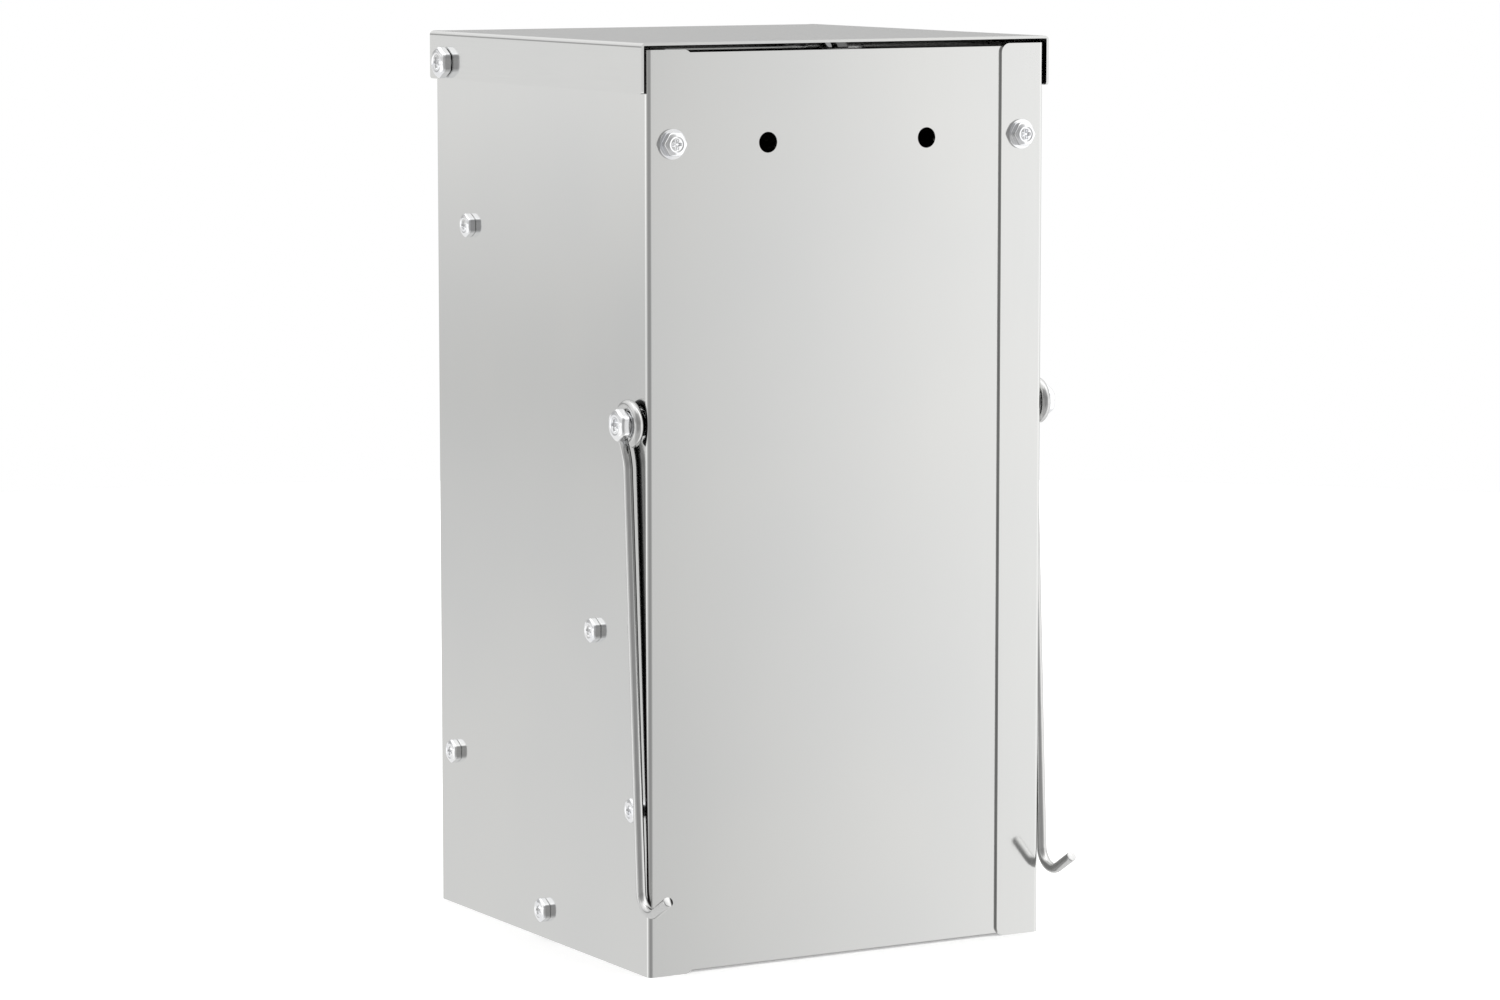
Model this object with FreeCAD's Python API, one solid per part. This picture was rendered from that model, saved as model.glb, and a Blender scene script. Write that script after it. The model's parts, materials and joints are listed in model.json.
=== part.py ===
import FreeCAD, Part
import math
import os

# Wall-hung dog waste bin in folded stainless sheet. Millimetres.
# Origin at the middle of the base, +Z up, +Y out of the rear (wall) face, +X to the right seen from the front.

V = FreeCAD.Vector
AXIS_X = V(1, 0, 0)
AXIS_Y = V(0, 1, 0)

# Body and sheet
body_width = 200.0
body_depth = 200.0
body_height = 400.0
sheet = 1.2
inside_bend = 0.8
lap = 0.1  # left between sheets that are screwed or riveted together
gap = 0.3  # left between pieces that move past each other
half_w = body_width / 2
half_d = body_depth / 2
inner_x = half_w - sheet
mid_bend = inside_bend + sheet / 2
corner_round = 4.0
corner_extra = 1.0  # tray corners beyond the bend radius

# Rear
rear_flange = 22.0
rear_short = 1.3
wall_hole_r = 4.5
wall_hole_spacing = 80.0
wall_hole_z = body_height - 40.5
rear_screw_x = half_w - 12.0
rear_screw_z = body_height - 40.0

# Lid and its hinge
lid_height = 3.0  # lid top above the side panels
lid_side_gap = 1.4
lid_sheet = 1.2
lid_front = 2.0  # overhang past the front
lid_top = body_height + lid_height
lid_under = lid_top - lid_sheet
lid_skirt = 21.7
lid_corner = 1.5
lid_out_x = half_w + lid_side_gap + lid_sheet
hinge_y = 14.0 - half_d
hinge_z = body_height - 11.0
hinge_round = body_height - hinge_z
front_set_back = 3.0
lip_bottom = hinge_z + 3.0
buffer_r = 5.0

# Screws: shank, head across flats, head height
m6 = {"r": 3.0, "flats": 10.0, "head": 4.3, "nut": 5.0}
m8 = {"r": 4.0, "flats": 13.0, "head": 5.3, "nut": 6.5}
clearance = 0.2
thread_gap = 0.05
washer_t = 1.6

# Side screws (y, z)
chute_screws = [(33.0 - half_d, 0.79 * body_height), (half_d - 48.0, 0.365 * body_height)]
runner_z = 72.0
runner_screws = [(15.0 - half_d, runner_z), (half_d - 11.5, runner_z)]
base_screws = [(3.0, 13.0)]

# Base pan
pan_front = 7.0 - half_d
pan_height = 26.0
pan_lip = 6.0

# Chute
chute_drop = 10.0  # screw line above the plate
chute_past = 12.0  # plate past the lower screws
chute_flange = 20.0
sill_z = 0.8 * body_height + 1.8
fascia_bottom = sill_z - 12.8
fascia_return = 4.0

# Slot flap and its rod
flap_y = 26.0 - half_d
flap_z = body_height - 10.0
flap_long = flap_z - sill_z + 7.8
flap_half = half_w - 3.5
flap_top_half = half_w - 13.0
flap_notch = 14.0
flap_rod_r = 2.5

# Runners and drawer rails
runner_t = 1.5
runner_low = runner_z - 12.0
runner_high = runner_z + 12.0
runner_in_x = half_w - 14.0
runner_front = 7.0 - half_d
runner_rear = half_d - 4.0
ledge_top = runner_low + runner_t
stop_ear = 3.5
travel = 133.5

# Drawer
drawer_half = half_w - 17.0
drawer_bottom = 8.0
drawer_rear = half_d - 10.0
front_gap = 1.0
front_low = 3.0
front_high = fascia_bottom - 2.0
front_return = 5.0
drawer_front_high = front_high - 7.0
chute_clear = 8.0
rail_in = drawer_half + lap
rail_out = half_w - 6.5
rail_tab_out = half_w - 3.2
rail_low = ledge_top + gap
rail_high = rail_low + 13.0
rail_tab = 8.0
rivet_r = 1.6

# Handle and latch
handle_z = 0.6 * body_height
handle_half = 48.0
handle_reach = 28.0
handle_r = 4.0
latch_z = front_high - 22.0
latch_r = 9.0
plug_r = 5.5
running = 0.08
cam_y = 5.5 - half_d
cam_t = 2.0
cam_reach = sill_z - sheet - latch_z - 3.0

# Wire hooks
wire_r = 2.25
bush_r = 6.0
bush_len = 6.0
pivot_y = half_d - 10.5
pivot_z = 0.6 * body_height
eye_r = bush_r + gap + wire_r
wire_off_top = 3.4
wire_off_low = 2.9
strand_start = (half_d - 11.9, pivot_z - 20.0)
eye_end = -65.0  # degrees round the pivot from the rear, over the top
eye_leave = 212.0
hook_knee = (half_d - 1.1, 23.7)
hook_tip = (half_d + 22.9, 38.0)
knee_r = 9.0


def box(x0, x1, y0, y1, z0, z1):
    """Solid block between two corners."""
    return Part.makeBox(x1 - x0, y1 - y0, z1 - z0, V(x0, y0, z0))


def rod(p, direction, radius, length):
    """Solid cylinder from p along direction."""
    return Part.makeCylinder(radius, length, p, direction)


def ring(p, direction, outer, inner, length):
    """Tube from p along direction."""
    return rod(p, direction, outer, length).cut(rod(p - direction, direction, inner, length + 2))


def mirror(shape):
    """The same piece for the other side."""
    return shape.mirror(V(0, 0, 0), AXIS_X)


def place(a, b, plane):
    """Point of the plane xy, xz or yz from its two coordinates."""
    if plane == "xy":
        return V(a, b, 0)
    if plane == "xz":
        return V(a, 0, b)
    return V(0, a, b)


def folded(points, thick, plane, start, stop):
    """Sheet folded along a middle line, with round bends, drawn out from start to stop across its plane."""
    mid = inside_bend + thick / 2
    pts = [V(a, b, 0) for a, b in points]
    runs = [(q - p).normalize() for p, q in zip(pts, pts[1:])]
    normals = [V(-d.y, d.x, 0) for d in runs]

    def side(offset):
        pieces = []
        here = pts[0] + normals[0] * offset
        for i in range(1, len(pts) - 1):
            before, after = runs[i - 1], runs[i]
            cross = before.x * after.y - before.y * after.x
            angle = math.atan2(cross, before.dot(after))
            turn = math.copysign(1.0, angle)
            setback = mid * math.tan(abs(angle) / 2)
            first = pts[i] - before * setback
            last = pts[i] + after * setback
            centre = first + normals[i - 1] * (mid * turn)
            a = first + normals[i - 1] * offset
            b = last + normals[i] * offset
            m = centre + (pts[i] - centre).normalize() * (mid - turn * offset)
            pieces.append(("line", here, a))
            pieces.append(("arc", a, m, b))
            here = b
        pieces.append(("line", here, pts[-1] + normals[-1] * offset))
        return pieces

    def flat(p):
        return place(p.x, p.y, plane)

    edges = []
    left = side(thick / 2)
    right = side(-thick / 2)
    for piece in left + right:
        if piece[0] == "line":
            edges.append(Part.makeLine(flat(piece[1]), flat(piece[2])))
        else:
            edges.append(Part.Arc(flat(piece[1]), flat(piece[2]), flat(piece[3])).toShape())
    edges.append(Part.makeLine(flat(left[0][1]), flat(right[0][1])))
    edges.append(Part.makeLine(flat(left[-1][2]), flat(right[-1][2])))
    face = Part.Face(Part.Wire(Part.__sortEdges__(edges)))
    across = {"xy": V(0, 0, 1), "xz": V(0, 1, 0), "yz": V(1, 0, 0)}[plane]
    face.translate(across * start)
    return face.extrude(across * (stop - start))


def join(*shapes):
    """One solid from pieces that run into each other."""
    whole = shapes[0].fuse(list(shapes[1:]))
    return whole.removeSplitter()


def round_at(shape, radius, test):
    """Rounds the straight edges whose middle passes the test."""
    edges = [e for e in shape.Edges if len(e.Vertexes) == 2 and test(e.CenterOfMass, e)]
    return shape.makeFillet(radius, edges)


def tray(x0, x1, y0, y1, z0, z1, thick):
    """Open-topped folded tray with rounded outside corners."""
    outer = rounded_block(box(x0, x1, y0, y1, z0, z1), inside_bend + thick)
    inner = box(x0 + thick, x1 - thick, y0 + thick, y1 - thick, z0 + thick, z1 + 1)
    return outer.cut(rounded_block(inner, inside_bend))


def rounded_block(block, radius):
    """Block with its upright edges rounded, then its bottom edges a little tighter."""
    bottom = block.BoundBox.ZMin
    top = block.BoundBox.ZMax
    upright = [e for e in block.Edges if abs(e.CenterOfMass.z - (bottom + top) / 2) < 0.01]
    block = block.makeFillet(radius + corner_extra, upright)
    low = [e for e in block.Edges if abs(e.CenterOfMass.z - bottom) < 0.01]
    return block.makeFillet(radius, low)


def head(p, out, size):
    """Domed hexagon head with a cross recess, seated at p and standing along out."""
    corner = size["flats"] / math.sqrt(3)
    high = size["head"]
    ring_pts = [V(corner * math.cos(k * math.pi / 3), corner * math.sin(k * math.pi / 3), 0) for k in range(7)]
    prism = Part.Face(Part.makePolygon(ring_pts)).extrude(V(0, 0, high))
    shoulder = 0.62 * high
    crown = corner * 0.99
    dome_r = (crown**2 + (high - shoulder) ** 2) / (2 * (high - shoulder))
    dome = Part.makeSphere(dome_r, V(0, 0, high - dome_r))
    prism = prism.common(dome)
    arm = 0.3 * size["flats"]
    slot = 0.09 * size["flats"]
    deep = 0.45 * high
    for k in range(2):
        wide = (arm, slot) if k == 0 else (slot, arm)
        prism = prism.cut(box(-wide[0], wide[0], -wide[1], wide[1], high - deep, high + 1))
    return aim(prism, p, out)


def aim(shape, p, out):
    """Turns a piece drawn along +Z so that it stands along out at p."""
    placed = shape.copy()
    placed.Placement = FreeCAD.Placement(p, FreeCAD.Rotation(V(0, 0, 1), out))
    return placed


def screw(p, out, size, shank):
    """Screw with its head seated at p and its shank running back from it."""
    return join(head(p, out, size), rod(p, out * -1, size["r"], shank))


def hex_nut(p, direction, size):
    """Chamfered hexagon nut whose seat is at p and whose body runs along direction."""
    corner = size["flats"] / math.sqrt(3)
    ring_pts = [V(corner * math.cos(k * math.pi / 3), corner * math.sin(k * math.pi / 3), 0) for k in range(7)]
    prism = Part.Face(Part.makePolygon(ring_pts)).extrude(V(0, 0, size["nut"]))
    bevel = 0.12 * corner
    rim = Part.makeCylinder(corner, size["nut"])
    rim = rim.makeChamfer(bevel, [e for e in rim.Edges if e.CenterOfMass.z > size["nut"] - 0.01])
    prism = prism.common(rim)
    prism = prism.cut(rod(V(0, 0, -1), V(0, 0, 1), size["r"] + thread_gap, size["nut"] + 2))
    return aim(prism, p, direction)


def save(name, *solids):
    """Writes one node, as a single solid or as a group of separate ones."""
    shape = solids[0] if len(solids) == 1 else Part.makeCompound(list(solids))
    shape.exportStep(os.path.join("parts", name + ".step"))


def both(make):
    """The right-hand and left-hand copies of a list of pieces."""
    right = make()
    return right + [mirror(s) for s in right]


def side_panel():
    """Right-hand side: wall, rear flange round the corner and a stiffening fold along the top."""
    mid = sheet / 2
    wall = folded([(half_w - mid, -half_d), (half_w - mid, half_d - mid), (half_w - rear_flange, half_d - mid)],
                  sheet, "xy", 0, body_height)
    wall = round_at(wall, corner_round,
                    lambda c, e: abs(c.x - (half_w - rear_flange)) < 0.01 and abs(c.y - (half_d - mid)) < 0.01
                    and e.Length < 2 * sheet)
    fold_from, fold_to = hinge_y + 16.0, half_d - 8.0
    wall = wall.cut(box(inner_x - 1, half_w + 1, fold_from, fold_to, body_height - 10, body_height + 1))
    fold = folded([(half_w - mid, body_height - 10), (half_w - mid, body_height - mid),
                   (inner_x - 12, body_height - mid)], sheet, "xz", fold_from, fold_to)
    panel = join(wall, fold)
    corner = box(inner_x - 1, half_w + 1, -half_d - 1, hinge_y, hinge_z - 8, body_height + 1)
    corner = corner.cut(box(inner_x - 2, half_w + 2, -half_d + front_set_back, hinge_y + 1, hinge_z - 9, hinge_z))
    corner = corner.cut(rod(V(inner_x - 2, hinge_y, hinge_z), AXIS_X, hinge_round, 6))
    panel = panel.cut(corner)
    for y, z in chute_screws + runner_screws + base_screws:
        panel = panel.cut(rod(V(inner_x - 1, y, z), AXIS_X, m6["r"] + clearance, 4))
    for y, z in [(hinge_y, hinge_z), (pivot_y, pivot_z)]:
        panel = panel.cut(rod(V(inner_x - 1, y, z), AXIS_X, m8["r"] + clearance, 4))
    panel = panel.cut(rod(V(inner_x - 1, flap_y, flap_z), AXIS_X, flap_rod_r + thread_gap, 4))
    return panel.cut(rod(V(rear_screw_x, half_d - 3, rear_screw_z), AXIS_Y, m6["r"] + clearance, 5))


def rear_panel():
    """Flat panel inside the rear flanges."""
    outer = half_d - sheet - lap
    wide = inner_x - 1.3
    panel = box(-wide, wide, outer - sheet, outer, rear_short, body_height - rear_short)
    for s in (-1, 1):
        panel = panel.cut(rod(V(s * wall_hole_spacing / 2, outer - 3, wall_hole_z), AXIS_Y, wall_hole_r, 5))
        panel = panel.cut(rod(V(s * rear_screw_x, outer - 3, rear_screw_z), AXIS_Y, m6["r"] + clearance, 5))
    return panel


def rear_fasteners():
    """Screws, washers and nuts that clamp the rear panel to the side panels' flanges."""
    screws, washers, nuts = [], [], []
    inside = half_d - sheet - lap - sheet
    for s in (-1, 1):
        screws.append(screw(V(s * rear_screw_x, half_d + 1.0, rear_screw_z), AXIS_Y, m6, 10.0))
        washers.append(ring(V(s * rear_screw_x, half_d, rear_screw_z), AXIS_Y, 6.5, m6["r"] + clearance, 1.0))
        nuts.append(hex_nut(V(s * rear_screw_x, inside, rear_screw_z), AXIS_Y * -1, m6))
    return screws, washers, nuts


def side_fasteners(places, layers):
    """Screws and nuts through the side panel and the flange inside it, for both sides."""
    inside = inner_x - lap - layers
    screws = both(lambda: [screw(V(half_w, y, z), AXIS_X, m6, half_w - inside + 6.5) for y, z in places])
    nuts = both(lambda: [hex_nut(V(inside, y, z), AXIS_X * -1, m6) for y, z in places])
    return screws, nuts


def base_pan():
    """Floor tray between the side panels, low at the front, with drain holes."""
    x = inner_x - lap
    rear = half_d - 2 * sheet - 2 * lap
    pan = tray(-x, x, pan_front, rear, 0, pan_height, sheet)
    pan = pan.cut(box(-x - 1, x + 1, pan_front - 1, pan_front + 3, pan_lip, pan_height + 1))
    for sx in (-1, 1):
        for y in (-55.0, 55.0):
            pan = pan.cut(rod(V(sx * 55.0, y, -1), V(0, 0, 1), 4.0, 4))
        for y, z in base_screws:
            pan = pan.cut(rod(V(sx * x - 2, y, z), AXIS_X, m6["r"] + clearance, 4))
    return pan


def chute_line():
    """Unit vectors down the slope and out of its upper face, and the plate's line through a point."""
    (y0, z0), (y1, z1) = chute_screws
    down = V(0, y1 - y0, z1 - z0).normalize()
    normal = V(0, -down.z, down.y)
    lower = V(0, y1, z1) + down * chute_past - normal * chute_drop
    return down, normal, lower


def chute_plate():
    """Sloping plate with side flanges, running on at the top as the slot's sill and fascia."""
    down, normal, lower = chute_line()
    mid = sheet / 2
    low = lower - normal * mid
    shelf = sill_z - mid
    up = (shelf - low.z) / -down.z
    bend = low - down * up
    face = -half_d + mid
    plate = folded([(low.y, low.z), (bend.y, shelf), (face, shelf), (face, fascia_bottom + mid),
                    (-half_d + sheet + fascia_return, fascia_bottom + mid)],
                   sheet, "yz", -(inner_x - gap), inner_x - gap)
    length = up - 8.0
    flange = box(inner_x - lap - sheet, inner_x - lap, 0, length, -chute_flange, sheet)
    ends = (0, length)
    flange = round_at(flange, 6.0, lambda c, e: abs(c.z + chute_flange) < 0.01 and min(
        abs(c.y - end) for end in ends) < 0.01 and e.Length < 2 * sheet)
    turn = FreeCAD.Rotation(AXIS_X, math.degrees(math.atan2(-down.z, -down.y)))
    flange.Placement = FreeCAD.Placement(lower, turn)
    plate = join(plate, flange, mirror(flange))
    for s in (-1, 1):
        for y, z in chute_screws:
            plate = plate.cut(rod(V(s * (inner_x - 1) - 2, y, z), AXIS_X, m6["r"] + clearance, 4))
    return plate


def runner():
    """Right-hand angle that the drawer rides on, with a stop ear at its front end."""
    half = runner_t / 2
    out = inner_x - lap
    angle = folded([(out - half, runner_high), (out - half, runner_low + half), (runner_in_x, runner_low + half)],
                   runner_t, "xz", runner_front, runner_rear)
    ear = box(rail_out + gap, out - half, runner_front, runner_front + runner_t, runner_low + half,
              ledge_top + stop_ear)
    angle = join(angle, ear)
    for y, z in runner_screws:
        angle = angle.cut(rod(V(out - 3, y, z), AXIS_X, m6["r"] + clearance, 5))
    return angle


def rivet_places():
    """Where the drawer rails (y, z) and the drawer front (x, z) are riveted."""
    rail = [(y, rail_low + 8.0) for y in (-80.0, 0.0, 72.0)]
    front = [(s * 66.0, z) for s in (-1, 1) for z in (40.0, 0.35 * body_height, drawer_front_high - 14.0)]
    return rail, front


def waste_drawer():
    """Deep bucket, full height at the front and cut down along the chute to the rear."""
    down, normal, lower = chute_line()
    y0 = -half_d + sheet + lap
    bucket = tray(-drawer_half, drawer_half, y0, drawer_rear, drawer_bottom, drawer_front_high, sheet)
    wide = drawer_half + 5
    edge = lower - normal * (sheet + chute_clear)
    reach = body_height
    top_pt = edge - down * reach
    rear_z = edge.z
    slope = [V(-wide, edge.y, rear_z), V(-wide, top_pt.y, top_pt.z), V(-wide, half_d, top_pt.z),
             V(-wide, half_d, rear_z), V(-wide, edge.y, rear_z)]
    above = Part.Face(Part.makePolygon(slope)).extrude(V(2 * wide, 0, 0))
    keep_front = box(-wide, wide, y0 - 1, y0 + sheet, drawer_bottom, drawer_front_high + 1)
    bucket = bucket.cut(above.cut(keep_front))
    rail, front = rivet_places()
    for y, z in rail:
        bucket = bucket.cut(rod(V(-wide, y, z), AXIS_X, rivet_r + lap, 2 * wide))
    return front_holes(bucket, y0 - 1, 4)


def front_holes(shape, start, length):
    """Drills the rivet, handle and latch holes of the drawer's front."""
    for x, z in rivet_places()[1]:
        shape = shape.cut(rod(V(x, start, z), AXIS_Y, rivet_r + lap, length))
    for s in (-1, 1):
        shape = shape.cut(rod(V(s * handle_half, start, handle_z), AXIS_Y, 2.0 + clearance, length))
    return shape.cut(rod(V(0, start, latch_z), AXIS_Y, latch_r + clearance, length))


def drawer_front():
    """Flush front panel of the drawer, a shallow folded tray."""
    x = inner_x - front_gap
    shape = tray(-x, x, front_low, front_high, 0, front_return, sheet)
    shape.rotate(V(0, 0, 0), AXIS_X, 90)
    shape = shape.mirror(V(0, 0, 0), AXIS_Y)
    shape.translate(V(0, -half_d, 0))
    return front_holes(shape, -half_d - 1, 4)


def drawer_rail():
    """Right-hand angle on the drawer's side, with a wider tab that meets the stop ear."""
    half = sheet / 2
    angle = folded([(rail_in + half, rail_high), (rail_in + half, rail_low + half), (rail_out, rail_low + half)],
                   sheet, "xz", -half_d + 8, drawer_rear - 4)
    tab_y = runner_front + runner_t + travel
    tab = box(rail_out - 2, rail_tab_out, tab_y, tab_y + rail_tab, rail_low, rail_low + sheet)
    angle = join(angle, tab)
    for y, z in rivet_places()[0]:
        angle = angle.cut(rod(V(rail_in - 1, y, z), AXIS_X, rivet_r + lap, 4))
    return angle


def rivet(p, out, grip):
    """Blind rivet with its low dome at p and its formed end behind the grip."""
    cap = Part.makeCylinder(3.1, 1.0)
    cap = cap.makeFillet(0.7, [e for e in cap.Edges if e.CenterOfMass.z > 0.9])
    stem = Part.makeCylinder(rivet_r, grip, V(0, 0, -grip))
    tail = Part.makeCylinder(2.4, 1.4, V(0, 0, -grip - 1.4))
    return aim(join(cap, stem, tail), p, out)


def rivets():
    """Rivets of both rails and of the drawer front."""
    rail, front = rivet_places()
    grip = 2 * sheet + lap
    sides = both(lambda: [rivet(V(rail_in + sheet, y, z), AXIS_X, grip) for y, z in rail])
    fronts = [rivet(V(x, -half_d, z), AXIS_Y * -1, grip) for x, z in front]
    return sides, fronts


def swept(edges, radius):
    """Round wire along a path of lines and arcs."""
    path = Part.Wire(edges)
    first = edges[0]
    start = first.valueAt(first.FirstParameter)
    tangent = first.tangentAt(first.FirstParameter)
    disc = Part.Wire([Part.makeCircle(radius, start, tangent)])
    return path.makePipeShell([disc], True, False)


def bent(points, bends):
    """Edges of a path through points, rounded at each inner point."""
    edges = []
    here = points[0]
    for i in range(1, len(points) - 1):
        a = (points[i - 1] - points[i]).normalize()
        b = (points[i + 1] - points[i]).normalize()
        half = math.acos(a.dot(b)) / 2
        back = bends[i - 1] / math.tan(half)
        p = points[i] + a * back
        q = points[i] + b * back
        centre = points[i] + (a + b).normalize() * (bends[i - 1] / math.sin(half))
        m = centre + (points[i] - centre).normalize() * bends[i - 1]
        edges.append(Part.makeLine(here, p))
        edges.append(Part.Arc(p, m, q).toShape())
        here = q
    edges.append(Part.makeLine(here, points[-1]))
    return edges


def drawer_handle():
    """Round bar pull with two feet on the drawer front."""
    y0, y1 = -half_d, -half_d - handle_reach
    pts = [V(-handle_half, y0, handle_z), V(-handle_half, y1, handle_z), V(handle_half, y1, handle_z),
           V(handle_half, y0, handle_z)]
    bar = swept(bent(pts, [9.0, 9.0]), handle_r)
    screws = []
    for s in (-1, 1):
        foot = V(s * handle_half, y0, handle_z)
        bar = bar.cut(rod(foot + V(0, 0.5, 0), AXIS_Y * -1, 2.0 + thread_gap, 10.5))
        seat = foot + V(0, 2 * sheet + lap, 0)
        cap = Part.makeCylinder(4.0, 2.4)
        cap = cap.makeFillet(1.2, [e for e in cap.Edges if e.CenterOfMass.z > 2.3])
        cap = cap.cut(box(-2.2, 2.2, -0.4, 0.4, 1.2, 3)).cut(box(-0.4, 0.4, -2.2, 2.2, 1.2, 3))
        cap = join(cap, rod(V(0, 0, 0), V(0, 0, -1), 2.0, 11.0))
        screws.append(aim(cap, seat, AXIS_Y))
    return bar, screws


def slot_flap():
    """Plate hanging behind the slot from a curl round the rod, notched at the top for the lid hinge nuts."""
    hang = box(-flap_half, flap_half, flap_y - sheet / 2, flap_y + sheet / 2, flap_z - flap_long,
               flap_z - flap_notch)
    neck = box(-flap_top_half, flap_top_half, flap_y - sheet / 2, flap_y + sheet / 2, flap_z - flap_notch - 1,
               flap_z - flap_rod_r - running)
    bore = flap_rod_r + running
    curl = ring(V(-flap_top_half, flap_y, flap_z), AXIS_X, bore + sheet, bore, 2 * flap_top_half)
    hollow = rod(V(-flap_half - 1, flap_y, flap_z), AXIS_X, bore, 2 * flap_half + 2)
    return join(hang, neck.cut(hollow), curl)


def flap_rod():
    """Rod across the body that the flap hangs on, held in by the lid's skirts."""
    reach = half_w + gap
    return rod(V(-reach, flap_y, flap_z), AXIS_X, flap_rod_r, 2 * reach)


def latch():
    """Quarter-turn key latch: housing, nut, plug, cam and cam screw. At rest the cam lies level, unlocked."""
    face = V(0, -half_d, latch_z)
    inside = V(0, -half_d + 2 * sheet + lap, latch_z)
    rosette = Part.makeCylinder(latch_r + 3.0, 2.0)
    rosette = rosette.makeFillet(1.0, [e for e in rosette.Edges if e.CenterOfMass.z > 1.9])
    housing = join(aim(rosette, face, AXIS_Y * -1), rod(face, AXIS_Y, latch_r, cam_y + half_d - gap))
    housing = housing.cut(rod(face - V(0, 4, 0), AXIS_Y, plug_r + running, 20))
    nut_flats = 2 * latch_r + 5.0
    nut = hex_nut(inside, AXIS_Y, {"flats": nut_flats, "nut": cam_y + half_d - 2 * sheet - lap - 2 * gap,
                                   "r": latch_r})
    plug = rod(face - V(0, 1.5, 0), AXIS_Y, plug_r, cam_y + half_d + 1.5)
    plug = plug.cut(box(-3, 3, face.y - 3, face.y + 2.0, latch_z - 3, latch_z + 3))
    plug = plug.cut(rod(V(0, cam_y - 2.5, latch_z), AXIS_Y, 1.5 + thread_gap, 5))
    hub = rod(V(0, cam_y, latch_z), AXIS_Y, 7.0, cam_t)
    arm = box(0, cam_reach - 5.0, cam_y, cam_y + cam_t, latch_z - 5.0, latch_z + 5.0)
    tip = rod(V(cam_reach - 5.0, cam_y, latch_z), AXIS_Y, 5.0, cam_t)
    cam = join(hub, arm, tip).cut(rod(V(0, cam_y - 1, latch_z), AXIS_Y, 1.5 + lap, 5))
    cap = Part.makeCylinder(3.0, 1.8)
    cap = cap.makeFillet(0.9, [e for e in cap.Edges if e.CenterOfMass.z > 1.7])
    cap = cap.cut(box(-2.0, 2.0, -0.35, 0.35, 1.0, 3))
    cap = join(cap, rod(V(0, 0, 0), V(0, 0, -1), 1.5, cam_t + 2.2))
    return housing, nut, plug, cam, aim(cap, V(0, cam_y + cam_t, latch_z), AXIS_Y)


def lid():
    """Top plate with side skirts and a narrower front lip that drops between the side panels."""
    mid = lid_sheet / 2
    x = lid_out_x - mid
    top = lid_top - mid
    low = lid_top - lid_skirt
    cover = folded([(-x, low), (-x, top), (x, top), (x, low)], lid_sheet, "xz", -half_d - lid_front, half_d)
    cover = round_at(cover, lid_corner, lambda c, e: abs(abs(c.x) - x) < 0.01 and abs(c.z - low) < 0.01
                     and e.Length < 2 * lid_sheet)
    lip_x = inner_x - 0.8
    front = -half_d - lid_front
    cover = cover.cut(box(-lip_x, lip_x, front - 1, front + 6, lid_under - 1, lid_top + 1))
    lip = folded([(front + mid, lip_bottom), (front + mid, top), (front + 6, top)], lid_sheet, "yz", -lip_x, lip_x)
    cover = join(cover, lip)
    return cover.cut(rod(V(-lid_out_x - 1, hinge_y, hinge_z), AXIS_X, lid_bush_r() + running, 2 * lid_out_x + 2))


def lid_bush_r():
    """Radius of the bushes that the lid turns on."""
    return m8["r"] + 1.2


def lid_buffers():
    """Rubber discs under the lid that meet the side panels' top folds."""
    return [rod(V(s * (inner_x - 6.8), y, body_height + gap), V(0, 0, 1), buffer_r, lid_under - body_height - gap)
            for s in (-1, 1) for y in (-35.0, half_d - 22.0)]


def lid_hinge():
    """Bolts, bushes, washers and nuts of the lid hinge."""
    reach = lid_side_gap + lid_sheet + gap
    at = V(half_w, hinge_y, hinge_z)
    inside = V(inner_x, hinge_y, hinge_z)
    bolts = both(lambda: [screw(at + V(reach, 0, 0), AXIS_X, m8, reach + sheet + washer_t + m8["nut"] + 1.5)])
    bushes = both(lambda: [ring(at, AXIS_X, lid_bush_r(), m8["r"] + thread_gap, reach)])
    washers = both(lambda: [ring(inside, AXIS_X * -1, 8.0, m8["r"] + clearance, washer_t)])
    nuts = both(lambda: [hex_nut(inside - V(washer_t, 0, 0), AXIS_X * -1, m8)])
    return bolts, bushes, washers, nuts


def hook_pivots():
    """Bolts, bushes and nuts that carry the wire hooks."""
    at = V(half_w, pivot_y, pivot_z)
    inside = V(inner_x, pivot_y, pivot_z)
    bolts = both(lambda: [screw(at + V(bush_len, 0, 0), AXIS_X, m8, bush_len + sheet + m8["nut"] + 1.5)])
    bushes = both(lambda: [ring(at, AXIS_X, bush_r, m8["r"] + thread_gap, bush_len)])
    nuts = both(lambda: [hex_nut(inside, AXIS_X * -1, m8)])
    return bolts, bushes, nuts


def hook():
    """Right-hand wire: open eye round the pivot, long strand leaning to the panel, knee and short upturned hook."""
    top_x = half_w + wire_off_top
    low_x = half_w + wire_off_low
    centre = V(top_x, pivot_y, pivot_z)
    knee = V(low_x, hook_knee[0], hook_knee[1])
    tip = V(low_x, hook_tip[0], hook_tip[1])

    def on_eye(angle):
        a = math.radians(angle)
        return centre + V(0, eye_r * math.cos(a), eye_r * math.sin(a))

    eye = Part.Arc(on_eye(eye_end), on_eye((eye_end + eye_leave) / 2), on_eye(eye_leave)).toShape()
    leave = on_eye(eye_leave)
    tangent = eye.tangentAt(eye.LastParameter)
    turn_end = V(top_x - 0.1, strand_start[0], strand_start[1])
    neck = Part.BSplineCurve()
    toward = (knee - turn_end).normalize()
    neck.interpolate(Points=[leave, turn_end], Tangents=[tangent, toward], TangentFlags=[True, True])
    strand = bent([turn_end, knee, tip], [knee_r])
    return swept([eye, neck.toShape()] + strand, wire_r)


os.makedirs("parts", exist_ok=True)

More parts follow.
